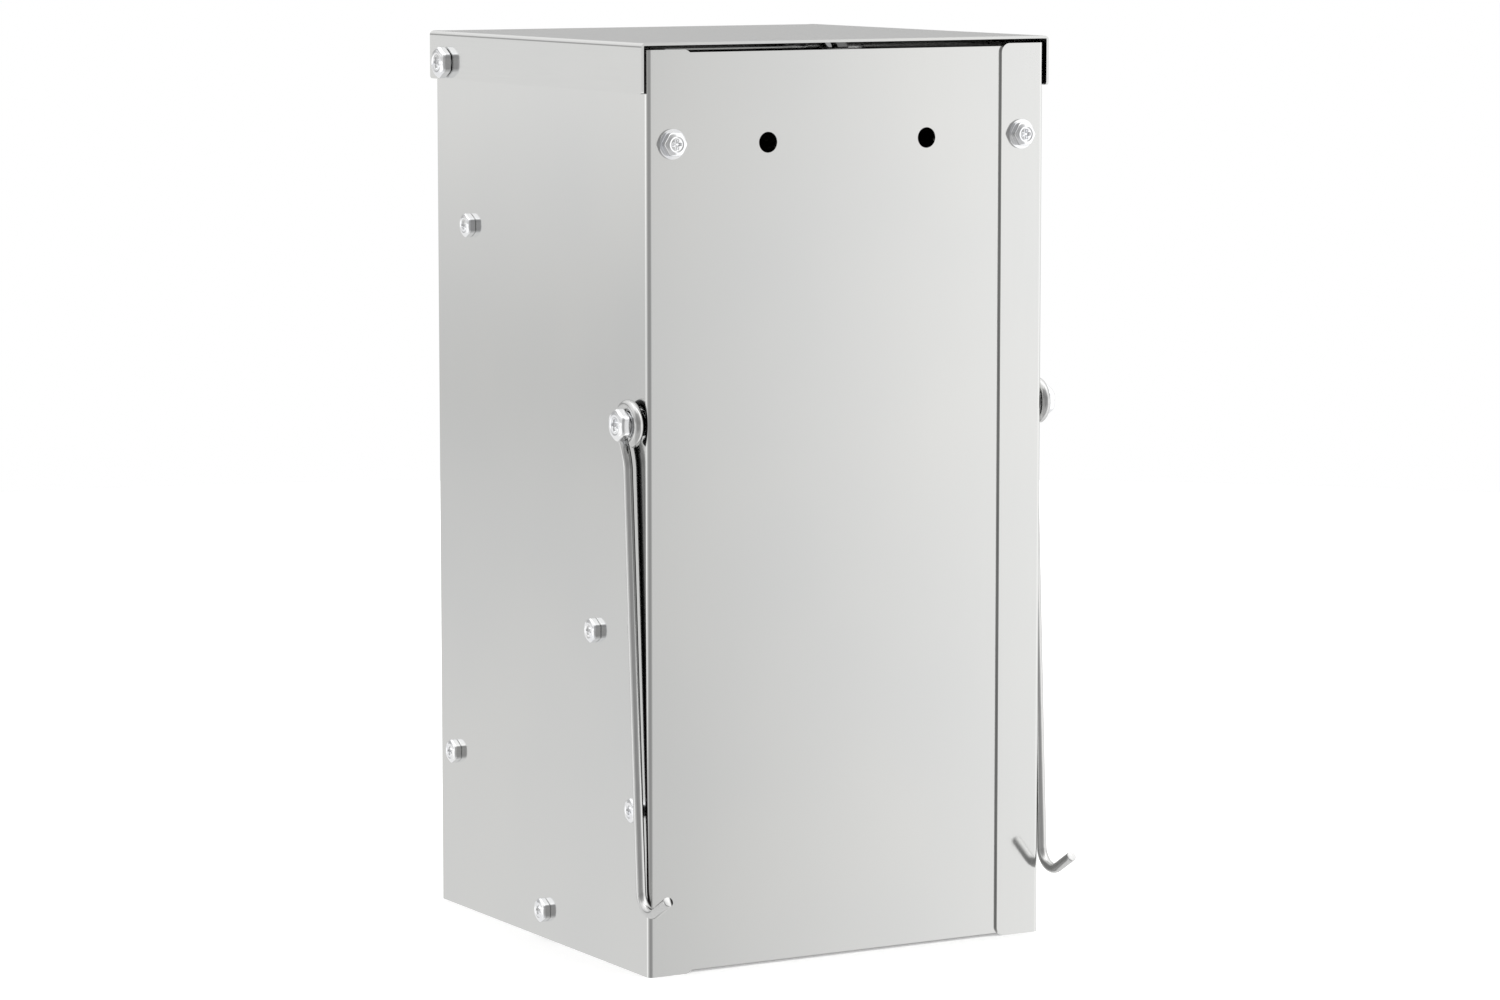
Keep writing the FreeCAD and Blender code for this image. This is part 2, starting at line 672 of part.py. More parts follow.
panel = side_panel()
save("side_panel_right", panel)
save("side_panel_left", mirror(panel))
save("rear_panel", rear_panel())
rear_sets = rear_fasteners()
for name, solids in zip(("rear_screws", "rear_washers", "rear_nuts"), rear_sets):
    save(name, *solids)

save("base_pan", base_pan())
save("chute_plate", chute_plate())
save("slot_flap", slot_flap())
save("flap_rod", flap_rod())
rail_right = runner()
save("runner_right", rail_right)
save("runner_left", mirror(rail_right))
for name, places, layers in (("chute", chute_screws, sheet), ("runner", runner_screws, runner_t),
                             ("base", base_screws, sheet)):
    screws, nuts = side_fasteners(places, layers)
    save(name + "_screws", *screws)
    save(name + "_nuts", *nuts)

save("lid", lid())
save("lid_buffers", *lid_buffers())
for name, solids in zip(("lid_hinge_bolts", "lid_hinge_bushes", "lid_hinge_washers", "lid_hinge_nuts"),
                        lid_hinge()):
    save(name, *solids)

wire = hook()
save("hook_right", wire)
save("hook_left", mirror(wire))
for name, solids in zip(("hook_pivot_bolts", "hook_pivot_bushes", "hook_pivot_nuts"), hook_pivots()):
    save(name, *solids)

save("waste_drawer", waste_drawer())
save("drawer_front", drawer_front())
slide = drawer_rail()
save("drawer_rail_right", slide)
save("drawer_rail_left", mirror(slide))
side_rivets, front_rivets = rivets()
save("rail_rivets", *side_rivets)
save("front_rivets", *front_rivets)
bar, bar_screws = drawer_handle()
save("drawer_handle", bar)
save("handle_screws", *bar_screws)
for name, solid in zip(("latch_housing", "latch_nut", "latch_plug", "latch_cam", "latch_cam_screw"), latch()):
    save(name, solid)
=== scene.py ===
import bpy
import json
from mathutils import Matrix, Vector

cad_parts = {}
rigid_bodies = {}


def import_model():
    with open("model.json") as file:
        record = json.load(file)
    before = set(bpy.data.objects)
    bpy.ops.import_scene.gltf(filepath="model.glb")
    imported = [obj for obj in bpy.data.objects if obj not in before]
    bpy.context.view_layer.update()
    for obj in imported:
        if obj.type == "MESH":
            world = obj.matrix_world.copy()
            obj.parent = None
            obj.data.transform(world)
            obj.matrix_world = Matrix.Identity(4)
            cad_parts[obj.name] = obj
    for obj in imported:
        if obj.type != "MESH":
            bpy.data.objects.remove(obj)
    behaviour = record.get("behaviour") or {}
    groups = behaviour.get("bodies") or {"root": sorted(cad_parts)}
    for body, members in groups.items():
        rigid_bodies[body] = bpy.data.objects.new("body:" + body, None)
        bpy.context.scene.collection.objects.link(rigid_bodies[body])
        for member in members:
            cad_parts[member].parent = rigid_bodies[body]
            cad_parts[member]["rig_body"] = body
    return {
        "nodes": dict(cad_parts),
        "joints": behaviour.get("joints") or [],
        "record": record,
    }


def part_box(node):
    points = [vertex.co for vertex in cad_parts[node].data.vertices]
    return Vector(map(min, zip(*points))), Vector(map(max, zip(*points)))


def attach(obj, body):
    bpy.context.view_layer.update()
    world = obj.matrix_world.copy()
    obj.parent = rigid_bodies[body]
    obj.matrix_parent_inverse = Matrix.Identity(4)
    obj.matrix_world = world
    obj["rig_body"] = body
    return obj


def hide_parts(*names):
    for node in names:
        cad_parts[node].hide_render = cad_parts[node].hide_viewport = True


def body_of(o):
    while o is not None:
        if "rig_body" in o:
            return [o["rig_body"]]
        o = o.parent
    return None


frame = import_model()

# %% [markdown]
# # A polished stainless dog waste bin
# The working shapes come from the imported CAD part: folded sheets, screws, wire hooks, lid and drawer.
# This script gives every piece its finish, rebuilds the small bright pieces that catch the light with
# finer surfaces, and sets up the studio. Lengths are in metres. Most places are read from the frame, and
# the few sizes that are written here again are the part's own.

# %% Tools and the frame's own sizes
import json
import math

import bpy
import numpy as np
from mathutils import Vector

scene = bpy.context.scene
scene.view_settings.view_transform = "Standard"
nodes = frame["nodes"]
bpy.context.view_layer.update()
joints = {j["name"]: j for j in frame["joints"]}

# %% [markdown]
# ## Building blocks for materials
# A finish is a small tree of nodes that ends in a Principled shader. It could be wired by hand in the
# editor, but a helper that starts an empty tree, and one that adds a node and sets its sockets by name,
# keep every finish below down to a few lines.

# %% Node helpers


def new_material(name):
    """An empty node material with a Principled shader joined to its output."""
    material = bpy.data.materials.new(name)
    material.use_nodes = True
    tree = material.node_tree
    tree.nodes.clear()
    out = tree.nodes.new("ShaderNodeOutputMaterial")
    shader = tree.nodes.new("ShaderNodeBsdfPrincipled")
    tree.links.new(shader.outputs["BSDF"], out.inputs["Surface"])
    return material, tree, shader


def add(tree, kind, **sockets):
    """Adds a node and sets the named input sockets."""
    node = tree.nodes.new(kind)
    for key, value in sockets.items():
        node.inputs[key.replace("_", " ")].default_value = value
    return node


print("tree helpers:", new_material.__name__, add.__name__)

# %% [markdown]
# ## Patterns
# Each pattern reads Object coordinates, so it keeps its real size and stays on the piece when the piece
# moves. A noise gives the unevenness of real metal, and the small functions after it turn that noise into
# a range of numbers, a run of colours or a fine relief.

# %% Pattern helpers


def stretched_noise(tree, stretch, scale, detail=4.0, rough=0.6):
    """Noise on Object coordinates, stretched by dividing each axis by its share in stretch."""
    place = tree.nodes.new("ShaderNodeTexCoord")
    mapping = tree.nodes.new("ShaderNodeMapping")
    mapping.inputs["Scale"].default_value = [1.0 / s for s in stretch]
    noise = add(tree, "ShaderNodeTexNoise", Scale=scale, Detail=detail, Roughness=rough)
    tree.links.new(place.outputs["Object"], mapping.inputs["Vector"])
    tree.links.new(mapping.outputs["Vector"], noise.inputs["Vector"])
    return noise.outputs["Fac"]


def spread(tree, source, low, high, start=0.3, stop=0.7):
    """Maps a 0 to 1 pattern onto low to high."""
    node = add(tree, "ShaderNodeMapRange", Value=0.5)
    for socket, value in zip(("From Min", "From Max", "To Min", "To Max"), (start, stop, low, high)):
        node.inputs[socket].default_value = value
    tree.links.new(source, node.inputs["Value"])
    return node.outputs["Result"]


def two_tones(tree, source, first, second):
    """Colour that runs from first to second with the pattern."""
    ramp = tree.nodes.new("ShaderNodeValToRGB")
    for element, place, tone in zip(ramp.color_ramp.elements, (0.3, 0.7), (first, second)):
        element.position = place
        element.color = (*tone, 1.0)
    tree.links.new(source, ramp.inputs["Fac"])
    return ramp.outputs["Color"]


def relief(tree, shader, source, height):
    """Bump from a pattern, height being the depth in metres from its darkest to its brightest."""
    bump = add(tree, "ShaderNodeBump", Strength=1.0, Distance=height)
    tree.links.new(source, bump.inputs["Height"])
    tree.links.new(bump.outputs["Normal"], shader.inputs["Normal"])


def shaded(tree, colour, factor):
    """A colour multiplied by a pattern."""
    node = tree.nodes.new("ShaderNodeVectorMath")
    node.operation = "SCALE"
    tree.links.new(colour, node.inputs[0])
    tree.links.new(factor, node.inputs["Scale"])
    return node.outputs["Vector"]


print("pattern helpers:", stretched_noise.__name__, spread.__name__, two_tones.__name__, relief.__name__)

# %% [markdown]
# ## Telling inner faces from outer ones
# The inner faces of a folded sheet get painted shade, so that the gaps between the sheets read dark. Which
# faces those are could be painted on by hand, but a face's place already tells: whatever lies further in than
# the sheet's outer skin is an inner face. The step from one to the other is a very short ramp on each axis,
# and the ramps are multiplied together.

# %% Inner faces


def painted_inner_shade(tree, limits, shade):
    """1 on the outer faces, falling to the factor shade, a painted shade, where a face lies inside the limits
    for |x|, y and z. A limit of None leaves that axis out."""
    soft_edge = 0.0002
    place = tree.nodes.new("ShaderNodeTexCoord")
    split = tree.nodes.new("ShaderNodeSeparateXYZ")
    tree.links.new(place.outputs["Object"], split.inputs["Vector"])
    width = tree.nodes.new("ShaderNodeMath")
    width.operation = "ABSOLUTE"
    tree.links.new(split.outputs["X"], width.inputs[0])
    within = None
    for source, limit in zip((width.outputs["Value"], split.outputs["Y"], split.outputs["Z"]), limits):
        if limit is None:
            continue
        step = spread(tree, source, 1.0, 0.0, limit - soft_edge, limit)
        if within is None:
            within = step
            continue
        both = tree.nodes.new("ShaderNodeMath")
        both.operation = "MULTIPLY"
        tree.links.new(within, both.inputs[0])
        tree.links.new(step, both.inputs[1])
        within = both.outputs["Value"]
    return spread(tree, within, 1.0, shade, 0.0, 1.0)


print("inner faces are told by place:", painted_inner_shade.__name__)

# %% [markdown]
# ## Polished stainless sheet
# The sheet is a soft mirror. Polishing leaves hair-fine lines along one direction and faint cloudy patches
# where the belt pressed harder. The lines could be modelled, but they are a few microns deep, so a stretched
# noise drives a very small bump and a small change in roughness. A wide, slow noise shifts the tone by a few
# percent. The faces turned inwards get painted shade: their colour is darkened to a quarter, so the gaps
# round the lid read as black. Where a face is inwards is told from its place in the part, with the limits
# read from the frame.

# %% Sheet finish


def polished_sheet(name, tone, rough, along, limits=None):
    """Soft mirror steel with polishing lines along x, y or z, with painted shade where it lies within the
    limits.
    """
    fine, painted_shade_tone, line_depth = 0.012, 0.25, 1.5e-6
    material, tree, shader = new_material(name)
    stretch = [fine, fine, fine]
    stretch["xyz".index(along)] = 1.0
    lines = stretched_noise(tree, stretch, 22.0, detail=3.0)
    clouds = stretched_noise(tree, (1.0, 1.0, 1.0), 9.0, detail=2.0, rough=0.5)
    warm = [tone, tone, tone * 0.985]
    cool = [tone * 0.965, tone * 0.97, tone * 0.965]
    colour = two_tones(tree, clouds, cool, warm)
    # painted shade: faces inside the limits are darkened to a quarter of their tone, where the gaps between
    # the sheets fall in shade
    if limits:
        colour = shaded(tree, colour, painted_inner_shade(tree, limits, painted_shade_tone))
    tree.links.new(colour, shader.inputs["Base Color"])
    tree.links.new(spread(tree, lines, rough * 0.85, rough * 1.2), shader.inputs["Roughness"])
    relief(tree, shader, lines, line_depth)
    shader.inputs["Metallic"].default_value = 1.0
    return material


print("sheet finish:", polished_sheet.__name__)

# %% [markdown]
# ### One finish for each way of folding
# The side panels, the rear panel and the lid have their outer faces in different places, so each gets limits
# of its own for its painted shade, a skin's depth inside its outer faces. The lid was polished from front to
# rear, the panels upright.

# %% Sheet finishes
sheet_thick = 0.0012
margin = 0.0001
skin = sheet_thick - margin
side_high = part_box("side_panel_right")[1]
rear_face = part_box("rear_panel")[1][1]
lid_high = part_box("lid")[1]
side_limits = (side_high[0] - skin, side_high[1] - skin, None)
rear_limits = (None, rear_face - skin, None)
lid_limits = (lid_high[0] - skin, None, lid_high[2] - sheet_thick + margin)
panel_tone, panel_rough = 0.69, 0.10
lid_rough = 0.13
mill_tone, mill_rough = 0.42, 0.4
sheet_upright = polished_sheet("polished_sheet_upright", panel_tone, panel_rough, "z")
sheet_side = polished_sheet("polished_sheet_side", panel_tone, panel_rough, "z", side_limits)
sheet_rear = polished_sheet("polished_sheet_rear", panel_tone, panel_rough, "z", rear_limits)
sheet_lid = polished_sheet("polished_sheet_lid", panel_tone, lid_rough, "y", lid_limits)
sheet_inside = polished_sheet("mill_sheet_inside", mill_tone, mill_rough, "z")
print("sheet finishes", sheet_upright.name, sheet_lid.name, sheet_inside.name)

# %% [markdown]
# ## Bright fasteners, drawn wire and rubber
# The screws are plated and brighter than the sheet, with tiny pits from the cold-forming tools. Drawn
# wire has lines along its length. The buffers are plain black rubber with a fine moulded grain. All of
# these could share one plain metal, but at arm's length plated steel, drawn wire and sheet look quite
# different, so each gets its own noise, stretched or not, for its tone, its roughness and its relief.

# %% Small finishes


def bright_plate(name, tone, rough):
    """Bright plated steel with small pits and a slightly cool tone."""
    pit_depth = 6e-6
    material, tree, shader = new_material(name)
    pits = stretched_noise(tree, (1.0, 1.0, 1.0), 900.0, detail=2.0)
    patches = stretched_noise(tree, (1.0, 1.0, 1.0), 160.0, detail=2.0)
    first = (tone * 0.93, tone * 0.94, tone * 0.97)
    second = (tone, tone, tone)
    tree.links.new(two_tones(tree, patches, first, second), shader.inputs["Base Color"])
    tree.links.new(spread(tree, patches, rough * 0.8, rough * 1.4), shader.inputs["Roughness"])
    relief(tree, shader, pits, pit_depth)
    shader.inputs["Metallic"].default_value = 1.0
    return material


def drawn_wire(name, tone, rough):
    """Bright wire with upright drawing lines. The attribute inner is 1 on the side towards the panel, and
    there the colour is darkened almost to black as painted shade, standing for the shade between wire and
    panel."""
    wire_painted_shade_tone, line_depth = 0.03, 4e-6
    material, tree, shader = new_material(name)
    lines = stretched_noise(tree, (0.05, 0.05, 1.0), 90.0, detail=3.0)
    first = (tone * 0.86, tone * 0.86, tone * 0.86)
    side = tree.nodes.new("ShaderNodeAttribute")
    side.attribute_name = "inner"
    # painted shade: the side of the wire that faces the panel is darkened almost to black, where the gap to
    # the panel falls in shade
    wire_painted_shade = spread(tree, side.outputs["Fac"], 1.0, wire_painted_shade_tone, 0.3, 0.65)
    colour = two_tones(tree, lines, first, (tone, tone, tone * 0.99))
    tree.links.new(shaded(tree, colour, wire_painted_shade), shader.inputs["Base Color"])
    tree.links.new(spread(tree, lines, rough * 0.8, rough * 1.3), shader.inputs["Roughness"])
    relief(tree, shader, lines, line_depth)
    shader.inputs["Metallic"].default_value = 1.0
    return material


def moulded_rubber(name):
    """Black rubber with a fine grain and a dusty bloom."""
    grain_depth = 3e-5
    black, dusty = (0.018, 0.018, 0.019), (0.035, 0.035, 0.036)
    material, tree, shader = new_material(name)
    grain = stretched_noise(tree, (1.0, 1.0, 1.0), 1500.0)
    bloom = stretched_noise(tree, (1.0, 1.0, 1.0), 120.0)
    tree.links.new(two_tones(tree, bloom, black, dusty), shader.inputs["Base Color"])
    tree.links.new(spread(tree, bloom, 0.6, 0.8), shader.inputs["Roughness"])
    relief(tree, shader, grain, grain_depth)
    return material


plate = bright_plate("bright_plated_fastener", 0.92, 0.10)
wire_finish = drawn_wire("drawn_bright_wire", 0.66, 0.14)
rubber = moulded_rubber("moulded_black_rubber")
print("small finishes", plate.name, wire_finish.name, rubber.name)

# %% [markdown]
# ## Dressing the CAD pieces
# The record names a material slot for each node, and the slot decides the finish. The materials could be
# given out by hand, but a rule keeps on working when the part gains a screw. Sheets that are only seen
# from inside keep the duller mill finish. A CAD mesh is left alone: it only gets its material.

# %% Finish of each node
slot_of = {s["node"]: s["material_slot"] for s in frame["record"]["subparts"]}
inside_sheets = {"base_pan", "chute_plate", "waste_drawer", "runner_left", "runner_right",
                 "drawer_rail_left", "drawer_rail_right"}


def finish_of(node):
    """The material for a CAD node."""
    slot = slot_of[node]
    if slot == "sheet":
        if node in inside_sheets:
            return sheet_inside
        if node.startswith("side_panel"):
            return sheet_side
        return {"lid": sheet_lid, "rear_panel": sheet_rear}.get(node, sheet_upright)
    return {"fastener": plate, "wire": wire_finish, "rubber": rubber}[slot]


for name, node in nodes.items():
    node.data.materials.clear()
    node.data.materials.append(finish_of(name))
print(len(nodes), "nodes dressed")

# %% [markdown]
# ## Finer screws
# The CAD screws have sharp-edged hexagon heads, a square-cut cross and plain shanks. Real ones are cold-
# formed: the flats swell a little, the corners and the rim are round, the top has a shallow dish with a
# soft cross, and the shank carries a thread. Those curves are what make small bright heads sparkle, so
# each head is rebuilt as one closed surface of rings round its axis. A boolean model would leave hard
# edges, and a bump on those heads would not round off the outline. The place, the size and the length of
# every screw are measured on its CAD solid.

# %% Solids of a node


def solids_of(node):
    """Point sets of the separate solids in a CAD node. Every point starts with its own number and takes the
    lowest number among its neighbours until nothing changes."""
    mesh = nodes[node].data
    points = np.empty(len(mesh.vertices) * 3)
    mesh.vertices.foreach_get("co", points)
    points = points.reshape(-1, 3)
    weld = np.unique(np.round(points, 6), axis=0, return_inverse=True)[1].ravel()
    ends = np.empty(len(mesh.edges) * 2, dtype=np.int32)
    mesh.edges.foreach_get("vertices", ends)
    first, second = weld[ends.reshape(-1, 2)].T
    number = np.arange(weld.max() + 1)
    while True:
        least = np.minimum(number[first], number[second])
        lower = number.copy()
        np.minimum.at(lower, first, least)
        np.minimum.at(lower, second, least)
        if (lower == number).all():
            break
        number = lower
    label = number[weld]
    return [points[label == n] for n in np.unique(label)]


print("solids in lid_hinge_bolts:", len(solids_of("lid_hinge_bolts")))

# %% [markdown]
# ### Closed grids
# Both the screws and the wires are stacks of rings. Joining each ring to the next with quads and closing
# the two ends with a fan of triangles round a pole gives a surface with no hole in it. Bridging the rings
# with modelling tools would do the same, but here the face list is worked out at once from the counts
# alone.

# %% Grid helpers


def smooth(value, start, stop):
    """0 below start, 1 above stop, and three t squared minus two t cubed between them."""
    t = np.clip((value - start) / (stop - start), 0.0, 1.0)
    return t * t * (3 - 2 * t)


def closed_grid(rows, top, bottom):
    """Points and faces of rings joined one to the next, with a pole at either end. Seen from the top pole the
    rings run anticlockwise, so every face looks outwards."""
    count, spokes = rows.shape[:2]
    points = np.vstack([top, rows.reshape(-1, 3), bottom])
    here = np.arange(spokes)
    ahead = (here + 1) % spokes
    start = 1 + np.arange(count - 1)[:, None] * spokes
    quads = np.stack([start + here, start + spokes + here, start + spokes + ahead, start + ahead], axis=-1)
    last, end = 1 + (count - 1) * spokes, len(points) - 1
    fans = [(0, 1 + a, 1 + b) for a, b in zip(here, ahead)]
    fans += [(last + a, end, last + b) for a, b in zip(here, ahead)]
    return points, quads.reshape(-1, 4), np.array(fans)


print("grid helpers:", smooth.__name__, closed_grid.__name__)

# %% [markdown]
# ### The screw's surface
# Every ring of the head is a rounded hexagon, and every ring of the shank a circle whose radius follows
# the thread. The head's proportions are shares of its own width across flats or of its height, so the
# same function makes the small side screws and the large pivot bolts.

# %% Screw surface


def hexagon(turn, flats, sharp):
    """Reach of a hexagon at each angle. The pull of its three pairs of flats is joined by a power mean: the
    higher the power, the sharper the corners."""
    pull = np.abs(np.cos(turn[:, None] - np.pi / 6 - np.arange(3) * np.pi / 3))
    return flats / 2 / np.sum(pull ** sharp, axis=1) ** (1 / sharp)


corner_power = 14.0
edge_share = 0.1
dome_fall, dish_sink, cross_sink = 0.36, 0.09, 0.3
bar_width, bar_length, dish_rim = (0.03, 0.09), (0.17, 0.24), (0.27, 0.36)
fine_pitch, coarse_pitch = 0.001, 0.00125
fine_shank = 0.0035


def head_top(x, y, flats, crown, high):
    """Height of the head's top: the crown, less a dome that falls with the square of the radius, less a
    shallow dish, less a cross of two soft bars."""
    reach = np.hypot(x, y)
    wide, long, rim = (np.array(pair) * flats for pair in (bar_width, bar_length, dish_rim))
    bars = [(1 - smooth(np.abs(p), *wide)) * (1 - smooth(np.abs(q), *long)) for p, q in ((x, y), (y, x))]
    dome = dome_fall * (reach / (flats / math.sqrt(3))) ** 2
    return crown - high * (dome + dish_sink * (1 - smooth(reach, *rim)) + cross_sink * np.maximum(*bars))


def thread(seat, foot, shank, turn):
    """Radius and height of the shank's rings: the radius follows a saw of height over pitch minus turn."""
    pitch = fine_pitch if shank < fine_shank else coarse_pitch
    rings = []
    for height in np.arange(seat, foot + 0.0004, -pitch / 6):
        saw = np.abs(2 * ((height / pitch - turn / (2 * np.pi)) % 1.0) - 1)
        cut = 0.5 * pitch * (1 - np.clip(1.3 * saw - 0.15, 0.0, 1.0))
        rings.append((shank - cut, np.full(len(turn), height)))
    rings.append((np.full(len(turn), shank - 0.7 * pitch), np.full(len(turn), foot)))
    return rings


def screw_grid(solid, out, corner_way, spokes=72):
    """Screw with its head along out: the top's rings, a quarter round, the flats, the seat and the thread."""
    axes = np.array([corner_way, np.cross(out, corner_way), out], dtype=float)
    middle = (solid.max(axis=0) + solid.min(axis=0)) / 2
    local = (solid - middle) @ axes.T
    away = np.hypot(local[:, 0], local[:, 1])
    flats = np.ptp(local[:, 1])
    seat = local[away > 0.4 * flats, 2].min()
    crown, foot = local[:, 2].max(), local[:, 2].min()
    shank = away[local[:, 2] < seat - 1e-4].max()
    turn = np.linspace(0.0, 2 * np.pi, spokes, endpoint=False)
    rim = hexagon(turn, flats, corner_power)
    edge = edge_share * flats

    def top_of(reach):
        """Height of the head's top at a reach for each angle."""
        return head_top(reach * np.cos(turn), reach * np.sin(turn), flats, crown, crown - seat)

    rings = [(s * (rim - edge), top_of(s * (rim - edge))) for s in np.linspace(0.0, 1.0, 45)[1:]]
    brow = top_of(rim - edge)
    for a in np.linspace(0.0, np.pi / 2, 8)[1:]:
        rings.append((rim - edge + edge * math.sin(a), brow - edge + edge * math.cos(a)))
    brim = seat + 0.3 * edge
    rings += [(rim, brow - edge + t * (brim - brow + edge)) for t in np.linspace(0.0, 1.0, 9)[1:]]
    rings += [(rim - 0.4 * edge, np.full(spokes, seat)), ((rim + shank) / 2, np.full(spokes, seat))]
    rings += thread(seat, foot, shank, turn)
    rows = np.array([np.column_stack([r * np.cos(turn), r * np.sin(turn), z]) for r, z in rings])
    top = np.array([0.0, 0.0, top_of(np.zeros(spokes))[0]])
    world = [middle + p @ axes for p in (rows, top, np.array([0.0, 0.0, foot]))]
    return closed_grid(*world)


print("screw surface:", screw_grid.__name__)

# %% [markdown]
# ### Standing in for the CAD screws
# A finer piece takes the CAD node's place, rides on the same body, so that it moves with it, and keeps
# the node's material slot. All the screws of one node become one mesh, as in the part.

# %% Finer screws


def stand_in(name, grids, node, finish, inner=None):
    """One smooth mesh of closed grids that stands for a CAD node and rides on its body."""
    points, faces, base = [], [], 0
    for grid, quads, fans in grids:
        points.append(grid)
        faces += (quads + base).tolist() + (fans + base).tolist()
        base += len(grid)
    mesh = bpy.data.meshes.new(name)
    mesh.from_pydata(np.vstack(points).tolist(), [], faces)
    mesh.polygons.foreach_set("use_smooth", np.ones(len(mesh.polygons), dtype=bool))
    if inner is not None:
        mesh.attributes.new("inner", "FLOAT", "POINT").data.foreach_set("value", inner)
    mesh.materials.append(finish)
    thing = bpy.data.objects.new(name, mesh)
    scene.collection.objects.link(thing)
    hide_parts(node)
    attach(thing, body_of(nodes[node])[0])
    return thing


outside_screws = {"rear_screws": "y", "chute_screws": "x", "runner_screws": "x", "base_screws": "x",
                  "lid_hinge_bolts": "x", "hook_pivot_bolts": "x"}
for name, axis in outside_screws.items():
    grids = []
    for solid in solids_of(name):
        if axis == "y":
            grids.append(screw_grid(solid, (0, 1, 0), (1, 0, 0)))
        else:
            grids.append(screw_grid(solid, (np.sign(solid[:, 0].mean()), 0, 0), (0, 0, 1)))
    stand_in("fine_" + name, grids, name, plate)
    print(name, len(grids), "screws")

# %% [markdown]
# ## Wire hooks
# A hook starts as straight wire. It is bent round a pin for the eye, swung back to a long strand, and
# turned up at the knee. The visual piece is a circle carried along that path. The circle's frame never
# twists, because the path stays almost in one plane: one axis of the circle always points along X. Each
# point also stores how far it faces the panel, which the wire's finish reads.

# %% Wire path
wire_r = 0.00225
eye_x, strand_x = side_high[0] + 0.0034, side_high[0] + 0.0029
eye_end, eye_leave = math.radians(-65.0), math.radians(212.0)
knee_at = (side_high[1] - 0.0011, 0.0237)
tip_at = (side_high[1] + 0.0229, 0.0380)
knee_r = 0.009
strand_start = (-0.0014, -0.020)
neck_in = 0.0001


def fillet(before, corner, after, radius, count):
    """Points of the arc that rounds a corner. Both tangent points lie radius over the tangent of half the
    angle away from the corner."""
    one = (before - corner) / np.linalg.norm(before - corner)
    two = (after - corner) / np.linalg.norm(after - corner)
    half = math.acos(float(one @ two)) / 2
    start, stop = corner + one * radius / math.tan(half), corner + two * radius / math.tan(half)
    centre = corner + (one + two) / np.linalg.norm(one + two) * radius / math.sin(half)
    first, last = start - centre, stop - centre
    sweep = math.acos(float(first @ last) / radius ** 2)
    t = np.linspace(0.0, 1.0, count)[:, None]
    return centre + (np.sin((1 - t) * sweep) * first + np.sin(t * sweep) * last) / math.sin(sweep)


def hook_path(side):
    """Middle line of a hook: the eye's arc, a cubic neck with the arc's and the strand's directions at its
    ends, the straight strand, the round knee and the straight tip."""
    pivot = np.array(joints["hook_right_pivot"]["pos_m"])
    eye_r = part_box("hook_right")[1][2] - pivot[2] - wire_r
    angle = np.linspace(eye_end, eye_leave, 110)
    eye_y, eye_z = pivot[1] + eye_r * np.cos(angle), pivot[2] + eye_r * np.sin(angle)
    eye = np.column_stack([np.full_like(angle, eye_x), eye_y, eye_z])
    start = np.array([eye_x - neck_in, pivot[1] + strand_start[0], pivot[2] + strand_start[1]])
    knee = np.array([strand_x, *knee_at])
    tip = np.array([strand_x, *tip_at])
    leave = np.array([0.0, -math.sin(angle[-1]), math.cos(angle[-1])])
    along = (knee - start) / np.linalg.norm(knee - start)
    chord = np.linalg.norm(start - eye[-1])
    t = np.linspace(0.0, 1.0, 30)[1:-1, None]
    neck = ((2 * t ** 3 - 3 * t ** 2 + 1) * eye[-1] + (t ** 3 - 2 * t ** 2 + t) * chord * leave
            + (3 * t ** 2 - 2 * t ** 3) * start + (t ** 3 - t ** 2) * chord * along)
    bend = fillet(start, knee, tip, knee_r, 40)
    t = np.linspace(0.0, 1.0, 60)[:-1, None]
    strand = start + t * (bend[0] - start)
    arm = bend[-1] + np.linspace(0.0, 1.0, 12)[1:, None] * (tip - bend[-1])
    path = np.vstack([eye, neck, strand, bend, arm])
    return path * np.array([side, 1.0, 1.0])


steps = np.linalg.norm(np.diff(hook_path(1.0), axis=0), axis=1)
print("hook path", len(steps) + 1, "points,", round(float(steps.sum()), 4), "m of wire")

# %% [markdown]
# ### The wire's surface
# Blender's own bevelled curve could carry a circle along the path. It is worked out here instead, so that
# the cut ends can be rounded off and closed, and so that each point can keep how far it faces the panel.
# Only the right hook gets the painted shade that this number places: the left one is bright all round.

# %% Wire surface
cut_round = 0.0004


def wire_grid(path, side, spokes=40):
    """Circle of the wire's radius carried along a path, with quarter rounds at its cut ends. Returns the grid
    and how far each point faces the panel."""
    heading = np.gradient(path, axis=0)
    heading /= np.linalg.norm(heading, axis=1)[:, None]
    a = np.linspace(0.0, np.pi / 2, 6)[:-1]
    sunk = cut_round * (1 - np.cos(a))[:, None]
    first = path[0] + heading[0] * sunk
    last = (path[-1] - heading[-1] * sunk)[::-1]
    from_first, from_last = (np.linalg.norm(path - tip, axis=1) for tip in (path[0], path[-1]))
    inside = (from_first > cut_round) & (from_last > cut_round)
    centres = np.vstack([first, path[inside], last])
    ways = np.vstack([np.tile(heading[0], (len(a), 1)), heading[inside], np.tile(heading[-1], (len(a), 1))])
    grown = wire_r - cut_round + cut_round * np.sin(a)
    radius = np.concatenate([grown, np.full(inside.sum(), wire_r), grown[::-1]])
    across = np.array([1.0, 0.0, 0.0]) - ways * ways[:, :1]
    across /= np.linalg.norm(across, axis=1)[:, None]
    up = np.cross(ways, across)
    turn = -np.linspace(0.0, 2 * np.pi, spokes, endpoint=False)
    spoke = np.cos(turn)[None, :, None] * across[:, None, :] + np.sin(turn)[None, :, None] * up[:, None, :]
    rows = centres[:, None, :] + radius[:, None, None] * spoke
    inner = np.concatenate([[0.0], (-side * spoke[..., 0]).ravel(), [0.0]])
    return closed_grid(rows, path[0], path[-1]), inner


